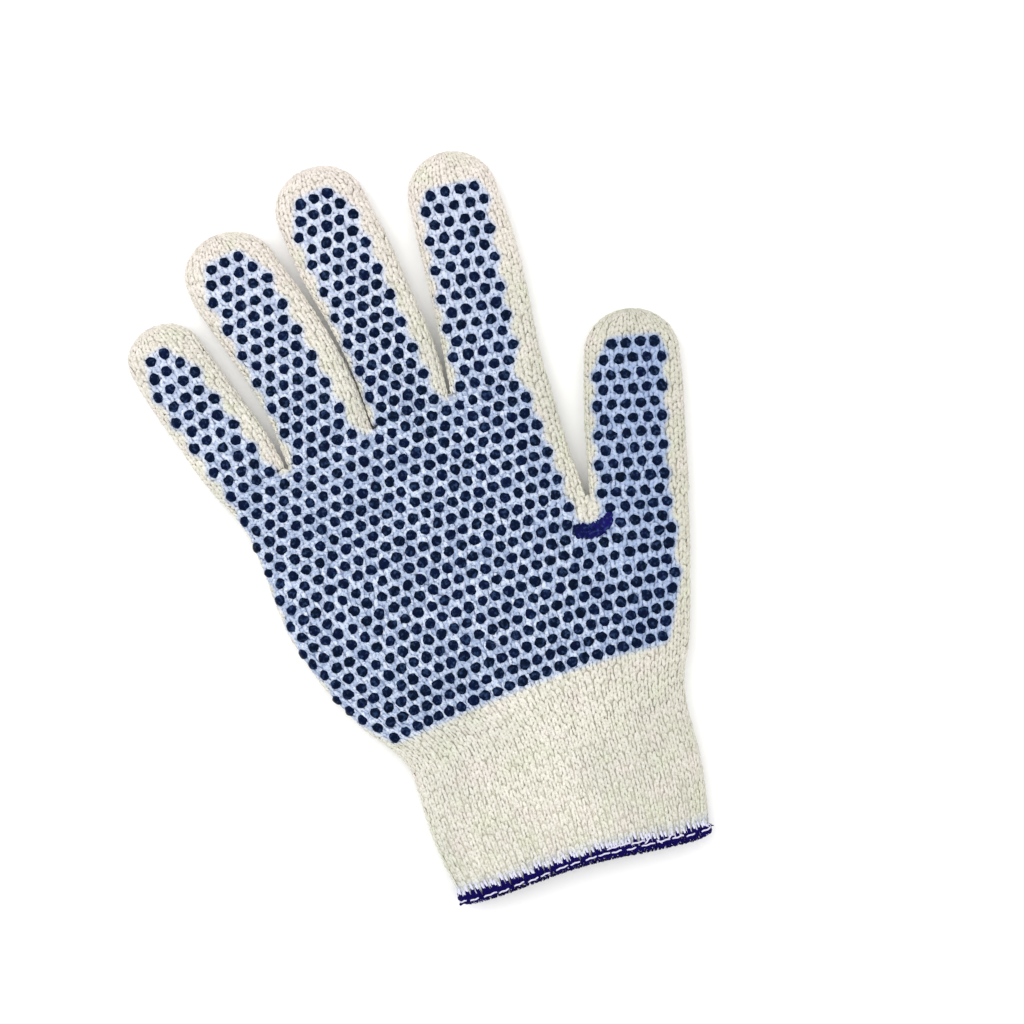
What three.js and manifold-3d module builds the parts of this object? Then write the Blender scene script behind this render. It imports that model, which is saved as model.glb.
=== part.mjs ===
// A dotted work glove for the right hand, lying flat with its palm up: a seamless string knit
// of fine tubes, one for each finger, with a printed grip and an overlocked cuff.
// Millimetres. X runs to the thumb side, Y to the fingertips, Z up from the table.
import * as THREE from "three";
import { mergeVertices } from "three/addons/utils/BufferGeometryUtils.js";
import Module from "manifold-3d";

const wasm = await Module();
wasm.setup();

// The knit, and the small gaps that part one piece from the next
const WALL = 1.8;
const SEAM = 0.3;
const PRINT_GAP = 0.4;
const PRINT_THICKNESS = 0.5;

// The cuff: as wide as the wrist at its top, drawn in at its mouth, with fine ribs
const CUFF_LENGTH = 44;
const WRIST_WIDTH = 91.5;
const MOUTH_WIDTH = 83;
const CUFF_HEIGHT = 10.4;
const RIB_PITCH = 4;
const RIB_DEPTH = 0.5;

// The overlocked edge round the mouth, and how far it sways along the cuff
const EDGE_LENGTH = 4;
const EDGE_PROUD = 0.4;
const EDGE_SWAY = 1;

// The palm: its length runs from the wrist to the middle finger's root
const PALM_LENGTH = 112.5;
const PALM_WIDTH = 119;
const PALM_HEIGHT = 11;

// How long each finger is, from its root to its tip
const LITTLE_LENGTH = 62.5;
const RING_LENGTH = 78.3;
const MIDDLE_LENGTH = 85.7;
const INDEX_LENGTH = 77;
const THUMB_LENGTH = 58.3;
const FINGER_HEIGHT = 10.2;

// The fingers. Right and up place the middle of each root, as shares of the palm's width and
// length, and width is a share of the palm's width. Lean turns a finger to the little one's side.
const FINGERS = [
  { name: "little_finger", right: -0.597, up: 0.902, lean: 11.2, width: 0.224, length: LITTLE_LENGTH },
  { name: "ring_finger", right: -0.36, up: 0.962, lean: 8.3, width: 0.265, length: RING_LENGTH },
  { name: "middle_finger", right: -0.123, up: 0.999, lean: 6, width: 0.265, length: MIDDLE_LENGTH },
  { name: "index_finger", right: 0.129, up: 1.01, lean: -3.7, width: 0.267, length: INDEX_LENGTH },
  { name: "thumb", right: 0.42, up: 0.609, lean: -11.5, width: 0.277, length: THUMB_LENGTH },
];

// How far each rounded fingertip reaches, as a share of the finger's width
const TIP_SHARE = 0.43;

// Sections of each finger, from its root to where its tip starts to round. Along and aside are
// shares of the finger's length, width and height of its width and height.
const FINGER_SECTIONS = {
  little_finger: [
    { along: 0, aside: 0.03, width: 0.88, height: 0.92 },
    { along: 0.25, aside: 0.004, width: 1, height: 0.94 },
    { along: 0.5, aside: -0.025, width: 0.98, height: 0.94 },
    { along: 0.75, aside: -0.056, width: 0.99, height: 0.94 },
    { along: 1, aside: -0.083, width: 0.94, height: 0.92 },
  ],
  ring_finger: [
    { along: 0, aside: 0, width: 0.96, height: 0.98 },
    { along: 0.24, aside: 0.017, width: 0.97, height: 1 },
    { along: 0.48, aside: 0, width: 0.99, height: 1 },
    { along: 0.72, aside: -0.033, width: 1, height: 1 },
    { along: 0.86, aside: -0.06, width: 1.01, height: 1 },
    { along: 1, aside: -0.08, width: 0.97, height: 0.98 },
  ],
  middle_finger: [
    { along: 0, aside: 0, width: 0.85, height: 0.98 },
    { along: 0.24, aside: 0.022, width: 0.91, height: 1.02 },
    { along: 0.48, aside: 0.01, width: 0.92, height: 1.02 },
    { along: 0.7, aside: -0.007, width: 0.99, height: 1.02 },
    { along: 0.83, aside: -0.018, width: 1, height: 1.02 },
    { along: 1, aside: -0.026, width: 0.955, height: 1 },
  ],
  index_finger: [
    { along: 0, aside: 0, width: 1, height: 0.98 },
    { along: 0.25, aside: 0.001, width: 0.98, height: 1 },
    { along: 0.5, aside: 0.004, width: 0.995, height: 1 },
    { along: 0.73, aside: -0.004, width: 0.99, height: 1 },
    { along: 0.86, aside: -0.011, width: 0.965, height: 1 },
    { along: 1, aside: -0.021, width: 0.915, height: 0.98 },
  ],
  thumb: [
    { along: 0, aside: 0, width: 0.99, height: 1 },
    { along: 0.25, aside: 0.001, width: 1, height: 1.04 },
    { along: 0.5, aside: 0.004, width: 1, height: 1.04 },
    { along: 0.8, aside: 0.013, width: 0.99, height: 1.04 },
    { along: 1, aside: 0.017, width: 0.945, height: 1 },
  ],
};

// Sections of the palm. Along is a share of its length, left and right of its width, measured
// from the middle of the wrist, and height of its height. Wrist says how far a section still
// has the wrist's own width and height.
const PALM_SECTIONS = [
  { along: -0.02, left: -0.38, right: 0.38, height: 0.96, wrist: 1 },
  { along: 0.045, left: -0.41, right: 0.405, height: 0.96, wrist: 0.5 },
  { along: 0.165, left: -0.487, right: 0.446, height: 1, wrist: 0 },
  { along: 0.32, left: -0.561, right: 0.489, height: 1, wrist: 0 },
  { along: 0.48, left: -0.609, right: 0.53, height: 1, wrist: 0 },
  { along: 0.612, left: -0.622, right: 0.557, height: 0.98, wrist: 0 },
  { along: 0.646, left: -0.626, right: 0.277, height: 0.96, wrist: 0 },
  { along: 0.77, left: -0.634, right: 0.268, height: 0.95, wrist: 0 },
  { along: 0.85, left: -0.661, right: 0.266, height: 0.94, wrist: 0 },
  { along: 0.93, left: -0.7, right: 0.266, height: 0.93, wrist: 0 },
  { along: 1.06, left: -0.75, right: 0.266, height: 0.92, wrist: 0 },
];

// The crotches between the fingers, as shares of the palm's width and length
const CROTCHES = {
  littleToRing: { right: -0.486, up: 0.942 },
  ringToMiddle: { right: -0.234, up: 0.98 },
  middleToIndex: { right: -0.011, up: 1.018 },
  indexToThumb: { right: 0.281, up: 0.629 },
};

// The valley that each crotch draws down into the palm
const VALLEY_DEPTH = 3.4;
const VALLEY_WIDTH = 7;
const VALLEY_LENGTH = 22;

// The print: how far it stays inside the sides of a finger and of the palm, and below a tip
const PRINT_FINGER_MARGIN = 4.6;
const PRINT_PALM_MARGIN = 5;
const PRINT_TIP_MARGIN = 8;

// The lower edge of the print, as shares of the palm's width and length
const PRINT_HEM = [
  { right: -0.39, up: 0.1 },
  { right: -0.1, up: 0.135 },
  { right: 0.19, up: 0.175 },
  { right: 0.4, up: 0.175 },
];

// Colours
const CREAM = 0xece5d2;
const NAVY = 0x1c2350;
const INDIGO = 0x1f1660;

// Where the points of a section lie, as shares of its half width: from right to left over its
// top, and back from left to right along its base
const FINGER_TOP_COLUMNS = [1, 0.97, 0.86, 0.64, 0.34, 0, -0.34, -0.64, -0.86, -0.97, -1];
const PALM_TOP_COLUMNS = [
  1, 0.99, 0.95, 0.87, 0.72, 0.56, 0.43, 0.3, 0.14, -0.04,
  -0.16, -0.3, -0.44, -0.56, -0.68, -0.8, -0.9, -0.96, -0.99, -1,
];
const FINGER_BASE_COLUMNS = [-0.94, -0.7, 0, 0.7, 0.94];
const PALM_BASE_COLUMNS = [-0.97, -0.87, 0, 0.87, 0.97];
const TIP_STEPS = [0.45, 0.75, 0.93];

const FINGER_COLUMNS = { top: FINGER_TOP_COLUMNS, base: FINGER_BASE_COLUMNS };
const PALM_COLUMNS = { top: PALM_TOP_COLUMNS, base: PALM_BASE_COLUMNS };

// Curves of the sections
const SIDE_POWER = 1.6;
const LEAST_POWER = 2.2;
const MIDDLE_SHARE = 0.45;
const BASE_FULLNESS = 1.3;

// How far a finger's tube is drawn into the palm before it is cut at its root line
const ROOT_OVERLAP = 20;

// Turns a three.js geometry into a solid that can be joined and cut
function toSolid(source) {
  const bare = source.clone();
  bare.deleteAttribute("normal");
  bare.deleteAttribute("uv");
  const merged = mergeVertices(bare, 1e-4);
  return new wasm.Manifold(new wasm.Mesh({
    numProp: 3,
    vertProperties: new Float32Array(merged.attributes.position.array),
    triVerts: new Uint32Array(merged.index.array),
  }));
}

function toGeometry(positions, faces) {
  const geometry = new THREE.BufferGeometry();
  geometry.setAttribute("position", new THREE.Float32BufferAttribute(positions, 3));
  geometry.setIndex(faces);
  return geometry;
}

// Faces between two rings of points that start at two places in the list
function bandFaces(low, high, count) {
  return Array.from({ length: count }, (_, side) => {
    const next = (side + 1) % count;
    return [low + side, high + next, low + next, low + side, high + side, high + next];
  }).flat();
}

// A closed body through rings of points, with a flat cap at each end
function loft(rings) {
  const count = rings[0].length;
  const positions = rings.flat().flatMap((point) => point.toArray());
  const faces = rings.slice(1).flatMap((_, row) => (
    bandFaces(row * count, (row + 1) * count, count)
  ));
  const last = (rings.length - 1) * count;
  for (let side = 1; side + 1 < count; side += 1) {
    faces.push(0, side, side + 1, last, last + side + 1, last + side);
  }
  return toSolid(toGeometry(positions, faces));
}

// A tube with a wall: rings of its outer skin, then as many rings of its inner one
function wallTube(outer, inner) {
  const count = outer[0].length;
  const rings = [...outer, ...inner.slice().reverse()];
  const positions = rings.flat().flatMap((point) => point.toArray());
  const faces = rings.flatMap((_, row) => (
    bandFaces(row * count, ((row + 1) % rings.length) * count, count)
  ));
  return toGeometry(positions, faces);
}

// A section of a limp knitted tube: an arched top, round sides and a base flattened by the table.
// Offset moves the whole skin out, or in where it is negative. The sides stay about as round on
// a wide section as on a narrow one, and valleys press the top down.
function sectionPoints(section, offset, columns) {
  const half = section.width / 2 + offset;
  const power = Math.max(LEAST_POWER, (SIDE_POWER * section.width) / 2 / section.height);
  const middle = MIDDLE_SHARE * section.height;
  const up = section.height - middle + offset;
  const down = BASE_FULLNESS * (middle + offset);
  const bulge = (share) => Math.sqrt(Math.max(0, 1 - Math.abs(share) ** power));
  const valley = (across) => (section.valleys ?? []).reduce((deepest, row) => (
    Math.max(deepest, row.depth * Math.exp(-(((across - row.across) / VALLEY_WIDTH) ** 2)))
  ), 0);
  const top = columns.top.map((share) => (
    { across: share * half, z: middle + (up - valley(share * half)) * bulge(share) }
  ));
  const base = columns.base.map((share) => (
    { across: share * half, z: Math.max(0, -offset, middle - down * bulge(share)) }
  ));
  return [...top, ...base];
}

// Places a section's points round its middle, square to the limb's heading from Y towards X
function ring(section, offset, columns) {
  const cos = Math.cos(section.heading);
  const sin = Math.sin(section.heading);
  return sectionPoints(section, offset, columns).map(({ across, z }) => (
    new THREE.Vector3(section.x + across * cos, section.y - across * sin, z)
  ));
}

// A place on the hand from its shares of the palm's width and length
function onPalm(place) {
  return new THREE.Vector2(place.right * PALM_WIDTH, CUFF_LENGTH + place.up * PALM_LENGTH);
}

// The sections of one finger, from just inside the palm to its tip. The tip is a quarter
// ellipse seen from above, and closes in height a little later.
function fingerSections(finger) {
  const lean = THREE.MathUtils.degToRad(finger.lean);
  const width = finger.width * PALM_WIDTH;
  const tipReach = TIP_SHARE * width;
  const straight = finger.length - tipReach;
  const root = onPalm(finger);
  const rows = FINGER_SECTIONS[finger.name];
  const place = (along, aside) => ({
    x: root.x - along * Math.sin(lean) + aside * finger.length * Math.cos(lean),
    y: root.y + along * Math.cos(lean) + aside * finger.length * Math.sin(lean),
  });
  const stations = rows.map((row) => ({
    ...place(row.along * straight, row.aside),
    width: row.width * width,
    height: row.height * FINGER_HEIGHT,
  }));
  const end = rows[rows.length - 1];
  for (const step of TIP_STEPS) {
    const shrink = Math.sqrt(1 - step ** 2);
    stations.push({
      ...place(straight + step * tipReach, end.aside),
      width: end.width * width * shrink,
      height: end.height * FINGER_HEIGHT * (0.4 + 0.6 * shrink ** 0.6),
    });
  }
  stations.forEach((station, index) => {
    const before = stations[Math.max(0, index - 1)];
    const after = stations[Math.min(stations.length - 1, index + 1)];
    station.heading = Math.atan2(after.x - before.x, after.y - before.y);
  });
  const first = stations[0];
  const inside = {
    ...first,
    x: first.x + ROOT_OVERLAP * Math.sin(lean),
    y: first.y - ROOT_OVERLAP * Math.cos(lean),
    heading: -lean,
  };
  return [inside, ...stations];
}

// The sections of the palm, with the valleys that its crotches draw into each of them
function palmSections() {
  return PALM_SECTIONS.map((row) => {
    const blend = (own, wrist) => THREE.MathUtils.lerp(own, wrist, row.wrist);
    const left = blend(row.left * PALM_WIDTH, -WRIST_WIDTH / 2);
    const right = blend(row.right * PALM_WIDTH, WRIST_WIDTH / 2);
    const x = (left + right) / 2;
    const y = CUFF_LENGTH + row.along * PALM_LENGTH;
    const valleys = Object.values(CROTCHES).map(onPalm).map((crotch) => ({
      across: crotch.x - x,
      depth: VALLEY_DEPTH * Math.exp(-(((crotch.y - y) / VALLEY_LENGTH) ** 2)),
    }));
    const height = blend(row.height * PALM_HEIGHT, CUFF_HEIGHT);
    return { x, y, width: right - left, height, heading: 0, valleys };
  });
}

// One skin of the palm or of a finger. An inner skin runs past the outer one where the tube is
// open, and stops a wall short of it at a fingertip.
function palmSkin(offset) {
  const sections = palmSections();
  if (offset < 0) {
    sections[0].y += offset;
    sections[sections.length - 1].y -= offset;
  }
  return loft(sections.map((section) => ring(section, offset, PALM_COLUMNS)));
}

function fingerSkin(finger, offset) {
  const sections = fingerSections(finger);
  const tip = sections[sections.length - 1];
  tip.x += offset * Math.sin(tip.heading);
  tip.y += offset * Math.cos(tip.heading);
  if (offset < 0) {
    sections[0].x -= offset * Math.sin(sections[0].heading);
    sections[0].y += offset * Math.cos(sections[0].heading);
  }
  return loft(sections.map((section) => ring(section, offset, FINGER_COLUMNS)));
}

// The wall between two skins
function shell(skin, outer, inner) {
  return skin(outer).subtract(skin(inner));
}

// A prism over an outline seen from above
function prism(outline, low, high) {
  const geometry = new THREE.ExtrudeGeometry(new THREE.Shape(outline), {
    depth: high - low,
    bevelEnabled: false,
  });
  geometry.translate(0, 0, low);
  return toSolid(geometry);
}

// Moves each side of an outline inwards, where the outline runs the left-hand way round
function inset(outline, distance) {
  return outline.map((corner, index) => {
    const before = outline[(index + outline.length - 1) % outline.length];
    const after = outline[(index + 1) % outline.length];
    const arriving = corner.clone().sub(before).normalize();
    const leaving = after.clone().sub(corner).normalize();
    const inward = new THREE.Vector2(-arriving.y - leaving.y, arriving.x + leaving.x);
    inward.divideScalar(1 + arriving.dot(leaving));
    return corner.clone().addScaledVector(inward, distance);
  });
}

// The way that a finger points, or the way between two fingers
function headingOf(...fingers) {
  const lean = fingers.reduce((sum, finger) => sum + finger.lean, 0) / fingers.length;
  const angle = THREE.MathUtils.degToRad(lean);
  return new THREE.Vector2(-Math.sin(angle), Math.cos(angle));
}

// The end of a root line that leaves a crotch square to a finger, to its left or right side
function rootEnd(crotch, finger, side) {
  const heading = headingOf(finger);
  const across = new THREE.Vector2(heading.y, -heading.x);
  return crotch.clone().addScaledVector(across, side * 1.4 * finger.width * PALM_WIDTH);
}

const [little, ringFinger, middle, index, thumb] = FINGERS;
const littleToRing = onPalm(CROTCHES.littleToRing);
const ringToMiddle = onPalm(CROTCHES.ringToMiddle);
const middleToIndex = onPalm(CROTCHES.middleToIndex);
const indexToThumb = onPalm(CROTCHES.indexToThumb);
const littleEnd = rootEnd(littleToRing, little, -1);
const indexEnd = rootEnd(middleToIndex, index, 1);
const thumbEnd = rootEnd(indexToThumb, thumb, 1);

// Each finger's own ground seen from above: its root line, and the lines between it and its
// neighbours, drawn far past its tip
function fingerGround(leftRoot, leftWay, rightRoot, rightWay) {
  const reach = 2 * PALM_LENGTH;
  return [
    leftRoot,
    rightRoot,
    rightRoot.clone().addScaledVector(rightWay, reach),
    leftRoot.clone().addScaledVector(leftWay, reach),
  ];
}

const GROUNDS = {
  little_finger: fingerGround(
    littleEnd, headingOf(little), littleToRing, headingOf(little, ringFinger),
  ),
  ring_finger: fingerGround(
    littleToRing, headingOf(little, ringFinger), ringToMiddle, headingOf(ringFinger, middle),
  ),
  middle_finger: fingerGround(
    ringToMiddle, headingOf(ringFinger, middle), middleToIndex, headingOf(middle, index),
  ),
  index_finger: fingerGround(
    middleToIndex, headingOf(middle, index), indexEnd, headingOf(index, thumb),
  ),
  thumb: fingerGround(indexToThumb, headingOf(index, thumb), thumbEnd, headingOf(thumb)),
};

// The palm's ground, up to the root lines
const PALM_GROUND = [
  new THREE.Vector2(-PALM_WIDTH, CUFF_LENGTH),
  new THREE.Vector2(PALM_WIDTH, CUFF_LENGTH),
  new THREE.Vector2(PALM_WIDTH, thumbEnd.y),
  thumbEnd,
  indexToThumb,
  indexEnd,
  middleToIndex,
  ringToMiddle,
  littleToRing,
  littleEnd,
  new THREE.Vector2(-PALM_WIDTH, littleEnd.y),
];
const TALL = 3 * PALM_HEIGHT;
const palmPrism = prism(inset(PALM_GROUND, SEAM / 2), -TALL, TALL);
const fingerPrism = (finger) => prism(inset(GROUNDS[finger.name], SEAM / 2), -TALL, TALL);

// The print's field on a finger: a band from inside the palm to just below the tip
function fingerField(finger) {
  const sections = fingerSections(finger).slice(0, -TIP_STEPS.length);
  const last = sections[sections.length - 1];
  const beyond = TIP_SHARE * finger.width * PALM_WIDTH - PRINT_TIP_MARGIN;
  const end = {
    ...last,
    x: last.x + beyond * Math.sin(last.heading),
    y: last.y + beyond * Math.cos(last.heading),
    width: last.width - PRINT_TIP_MARGIN / 2,
  };
  const edge = (side) => [...sections, end].map((section) => {
    const half = section.width / 2 - PRINT_FINGER_MARGIN;
    return new THREE.Vector2(
      section.x + side * half * Math.cos(section.heading),
      section.y - side * half * Math.sin(section.heading),
    );
  });
  return [...edge(1), ...edge(-1).reverse()];
}

// The print's field on the palm: a margin inside its sides, from the slanted hem to the crotches
function palmField() {
  const hem = PRINT_HEM.map(onPalm);
  const side = (sign, lowest) => palmSections().slice(1, -1)
    .filter((section) => section.y > lowest.y + PRINT_PALM_MARGIN)
    .map((section) => new THREE.Vector2(
      section.x + sign * (section.width / 2 - PRINT_PALM_MARGIN),
      section.y,
    ));
  return [...hem, ...side(1, hem[hem.length - 1]), ...side(-1, hem[0]).reverse()];
}

// A section of the cuff between its mouth and the wrist
function cuffSection(along) {
  const spread = Math.sin((Math.PI / 2) * Math.min(1, along / (0.7 * CUFF_LENGTH)));
  const width = THREE.MathUtils.lerp(MOUTH_WIDTH, WRIST_WIDTH, spread);
  return { x: 0, y: along, width, height: CUFF_HEIGHT, heading: 0 };
}

// A cuff section walked round in equal steps, two to a rib: one on its crest, one in its groove.
// The mouth sways a little along the cuff, and the sway dies out at the wrist.
function ribRing(along, offset, ribDepth) {
  const section = cuffSection(along);
  const corners = ring(section, offset, PALM_COLUMNS);
  const outline = new THREE.CurvePath();
  corners.forEach((corner, step) => {
    outline.add(new THREE.LineCurve3(corner, corners[(step + 1) % corners.length]));
  });
  const points = 2 * Math.round((2 * MOUTH_WIDTH) / RIB_PITCH);
  const sway = EDGE_SWAY * (1 - along / CUFF_LENGTH);
  return Array.from({ length: points }, (_, step) => {
    const point = outline.getPointAt(step / points);
    const above = Math.sign(section.height / 2 - point.z);
    const depth = step % 2 === 1 ? ribDepth : 0;
    point.y += sway * Math.cos((2.2 * Math.PI * point.x) / MOUTH_WIDTH);
    point.z += above * depth;
    return point;
  });
}

// A length of the cuff's wall, from one height above the mouth to another
function cuffTube(heights, outer, inner, ribDepth) {
  return wallTube(
    heights.map((along) => ribRing(along, outer, ribDepth)),
    heights.map((along) => ribRing(along, inner, 0)),
  );
}

// Adds one named piece to the glove
const glove = new THREE.Group();
function addPiece(name, geometry, material) {
  geometry.computeVertexNormals();
  const mesh = new THREE.Mesh(geometry, material);
  mesh.name = name;
  glove.add(mesh);
}

function addSolid(name, body, material) {
  const { vertProperties, triVerts } = body.getMesh();
  addPiece(name, toGeometry(Array.from(vertProperties), Array.from(triVerts)), material);
}

const knit = new THREE.MeshStandardMaterial({ color: CREAM, roughness: 0.95, metalness: 0 });
const print = new THREE.MeshStandardMaterial({ color: NAVY, roughness: 0.35, metalness: 0 });
const thread = new THREE.MeshStandardMaterial({ color: INDIGO, roughness: 0.8, metalness: 0 });

// The knit of the hand, parted at the root lines into the tubes that it is knitted from
addSolid("palm", shell(palmSkin, 0, -WALL).intersect(palmPrism), knit);
for (const finger of FINGERS) {
  const skin = (offset) => fingerSkin(finger, offset);
  addSolid(finger.name, shell(skin, 0, -WALL).intersect(fingerPrism(finger)), knit);
}

// The printed grip: a thin skin just off the palm side of the knit
const printTop = PRINT_GAP + PRINT_THICKNESS;
const printLow = PALM_HEIGHT / 2;
const fingerFieldPrism = (finger) => prism(fingerField(finger), printLow, TALL);
const palmPrint = FINGERS.reduce(
  (field, finger) => field.add(fingerFieldPrism(finger)),
  prism(palmField(), printLow, TALL),
);
const palmPrintBody = shell(palmSkin, printTop, PRINT_GAP).intersect(palmPrint);
addSolid("print_palm", palmPrintBody.intersect(palmPrism), print);
for (const finger of FINGERS) {
  const skin = (offset) => fingerSkin(finger, offset);
  const body = shell(skin, printTop, PRINT_GAP).intersect(fingerFieldPrism(finger));
  addSolid(`print_${finger.name}`, body.intersect(fingerPrism(finger)), print);
}

// The ribbed cuff and the overlocked edge round its mouth
const cuffHeights = [EDGE_LENGTH + SEAM, CUFF_LENGTH / 2, CUFF_LENGTH - SEAM / 2];
addPiece("cuff", cuffTube(cuffHeights, 0, -WALL, RIB_DEPTH), knit);
const edgeWall = -WALL - EDGE_PROUD / 2;
addPiece("cuff_edge", cuffTube([0, EDGE_LENGTH], EDGE_PROUD, edgeWall, 0), thread);

// The origin is on the table, under the middle of the glove
const box = new THREE.Box3().setFromObject(glove);
const centre = box.getCenter(new THREE.Vector3());
glove.position.set(-centre.x, -centre.y, -box.min.z);

export default glove;
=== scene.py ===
"""The looks of a dotted work glove that lies flat with its palm up.

The hand is a seamless string knit, so each limb is worked out as a tube of cloth in rows and
wales, and the yarn of every stitch is laid on it. Lengths are in millimetres until a mesh is
made. X runs to the thumb side, Y to the fingertips and Z up from the table.
"""
import math

import bpy
import numpy as np
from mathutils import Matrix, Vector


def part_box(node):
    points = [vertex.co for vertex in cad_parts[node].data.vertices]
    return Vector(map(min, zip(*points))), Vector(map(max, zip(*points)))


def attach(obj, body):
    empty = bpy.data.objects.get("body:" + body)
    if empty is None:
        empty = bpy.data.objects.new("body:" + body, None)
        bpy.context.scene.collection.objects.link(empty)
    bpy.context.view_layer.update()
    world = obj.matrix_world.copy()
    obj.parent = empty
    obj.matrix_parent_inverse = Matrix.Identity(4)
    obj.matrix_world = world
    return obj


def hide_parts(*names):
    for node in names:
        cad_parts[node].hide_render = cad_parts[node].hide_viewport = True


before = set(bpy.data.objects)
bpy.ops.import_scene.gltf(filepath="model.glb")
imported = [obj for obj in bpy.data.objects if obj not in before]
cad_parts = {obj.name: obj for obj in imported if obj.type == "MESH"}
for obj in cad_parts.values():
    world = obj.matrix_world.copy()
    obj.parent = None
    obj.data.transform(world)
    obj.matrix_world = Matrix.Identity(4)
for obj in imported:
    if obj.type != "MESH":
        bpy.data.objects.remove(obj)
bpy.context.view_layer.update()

# The shape of the knitted hand: a limp tube for the palm that opens into five finger tubes. The
# fabric is about 1.8 mm thick, arched over the hand's hollow and flattened by the table below.
# The sections are those of the construction, so the cloth lies where its solids are.
MM = 0.001
CUFF_LENGTH = 44.0
SIDE_POWER, LEAST_POWER, MIDDLE_SHARE, BASE_FULLNESS = 1.6, 2.2, 0.45, 1.3
FINGER_HEIGHT = 10.2
TIP_SHARE = 0.43

edge_low, edge_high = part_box("cuff_edge")
palm_low, palm_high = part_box("palm")
MOUTH_MIDDLE = np.array([
    (edge_low.x + edge_high.x) / 2,
    palm_low.y - (CUFF_LENGTH + 0.15) * MM,
    0.0,
])

# Name, root, lean to the little finger's side in degrees, width and length, then sections of
# share along, share aside, share of the width and share of the height
FINGERS = {
    "little_finger": dict(
        root=(-71.0, 145.5), lean=11.2, width=26.7, length=62.5,
        sections=((0, 0.03, 0.88, 0.92), (0.25, 0.004, 1, 0.94), (0.5, -0.025, 0.98, 0.94),
                  (0.75, -0.056, 0.99, 0.94), (1, -0.083, 0.94, 0.92))),
    "ring_finger": dict(
        root=(-42.8, 152.2), lean=8.3, width=31.5, length=78.3,
        sections=((0, 0, 0.96, 0.98), (0.24, 0.017, 0.97, 1), (0.48, 0, 0.99, 1),
                  (0.72, -0.033, 1, 1), (0.86, -0.06, 1.01, 1), (1, -0.08, 0.97, 0.98))),
    "middle_finger": dict(
        root=(-14.6, 156.4), lean=6.0, width=31.5, length=85.7,
        sections=((0, 0, 0.85, 0.98), (0.24, 0.022, 0.91, 1.02), (0.48, 0.01, 0.92, 1.02),
                  (0.7, -0.007, 0.99, 1.02), (0.83, -0.018, 1, 1.02), (1, -0.026, 0.955, 1))),
    "index_finger": dict(
        root=(15.4, 157.6), lean=-3.7, width=31.8, length=77.0,
        sections=((0, 0, 1, 0.98), (0.25, 0.001, 0.98, 1), (0.5, 0.004, 0.995, 1),
                  (0.73, -0.004, 0.99, 1), (0.86, -0.011, 0.965, 1), (1, -0.021, 0.915, 0.98))),
    "thumb": dict(
        root=(50.0, 112.5), lean=-11.5, width=33.0, length=58.3,
        sections=((0, 0, 0.99, 1), (0.25, 0.001, 1, 1.04), (0.5, 0.004, 1, 1.04),
                  (0.8, 0.013, 0.99, 1.04), (1, 0.017, 0.945, 1))),
}

# Height above the mouth, left side, right side and thickness of the hand: below the thumb's
# crotch, and above it
LOWER_PALM = np.array([
    (41.75, -45.75, 45.75, 10.4), (49.1, -47.3, 47.0, 10.5), (62.6, -57.9, 53.1, 11),
    (80, -66.8, 58.2, 11), (98, -72.5, 63.1, 11), (112.8, -74, 66.3, 10.8)])
UPPER_PALM = np.array([
    (112.8, -74.2, 33.1, 10.7), (116.7, -74.5, 33, 10.6), (130.6, -75.4, 31.9, 10.5),
    (139.6, -78.7, 31.7, 10.3), (148.6, -83.3, 31.7, 10.2), (163.3, -89.3, 31.7, 10.1)])
CROTCHES = np.array([(-57.8, 150.0), (-27.8, 154.3), (-1.3, 158.5), (33.4, 114.8)])
ROOT_LINE = np.array([(-94.4, 142.8), *CROTCHES[:3], (43, 155.6)])
THUMB_CROTCH = CROTCHES[3]
ROOT_BLEND = 9.0


def to_scene(points):
    """The row frame in metres: the mouth's middle moved to where the CAD has it."""
    return np.asarray(points) * MM + MOUTH_MIDDLE


def soft_steps(at, places, values, reach):
    """Straight steps between the places, averaged over a window of twice the reach."""
    window = np.linspace(-reach, reach, 9)
    return np.mean([np.interp(at + shift, places, values) for shift in window], axis=0)


def ease(value):
    """0 below -1 and 1 above 1, with an S curve between."""
    share = np.clip((value + 1) / 2, 0, 1)
    return share * share * (3 - 2 * share)


def section_height(share, half, height, closing, front):
    """A superellipse: a middle line, and a bulge of sqrt(1 - share^power) above or below it."""
    power = np.maximum(LEAST_POWER, SIDE_POWER * half / height)
    bulge = np.sqrt(np.maximum(0, 1 - np.abs(share) ** power)) * closing
    middle = MIDDLE_SHARE * height
    if front:
        return middle + (height - middle) * bulge
    return np.maximum(0, middle - BASE_FULLNESS * middle * bulge)


def finger_axis(finger, along):
    """Middle, half width, thickness and closing of a finger at distances along it. The tip is a
    quarter ellipse from above, and its last part closes to a point."""
    places, asides, widths, heights = np.array(finger["sections"]).T
    reach = TIP_SHARE * finger["width"]
    straight = finger["length"] - reach
    share = along / straight
    aside = soft_steps(share, places, asides, 0.1) * finger["length"]
    half = soft_steps(share, places, widths, 0.1) * finger["width"] / 2
    height = soft_steps(share, places, heights, 0.1) * FINGER_HEIGHT
    step = np.clip((along - straight) / reach, 0, 1)
    shrink = np.sqrt(1 - step ** 2)
    height = height * (0.4 + 0.6 * shrink ** 0.6)
    closing = np.sqrt(1 - np.clip((step - 0.8) / 0.2, 0, 1) ** 2)
    lean = math.radians(finger["lean"])
    heading = np.array([-math.sin(lean), math.cos(lean)])
    right = np.array([math.cos(lean), math.sin(lean)])
    middle = np.array(finger["root"]) + along[..., None] * heading + aside[..., None] * right
    return middle, np.maximum(half * shrink, 0.05), height, closing


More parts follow.
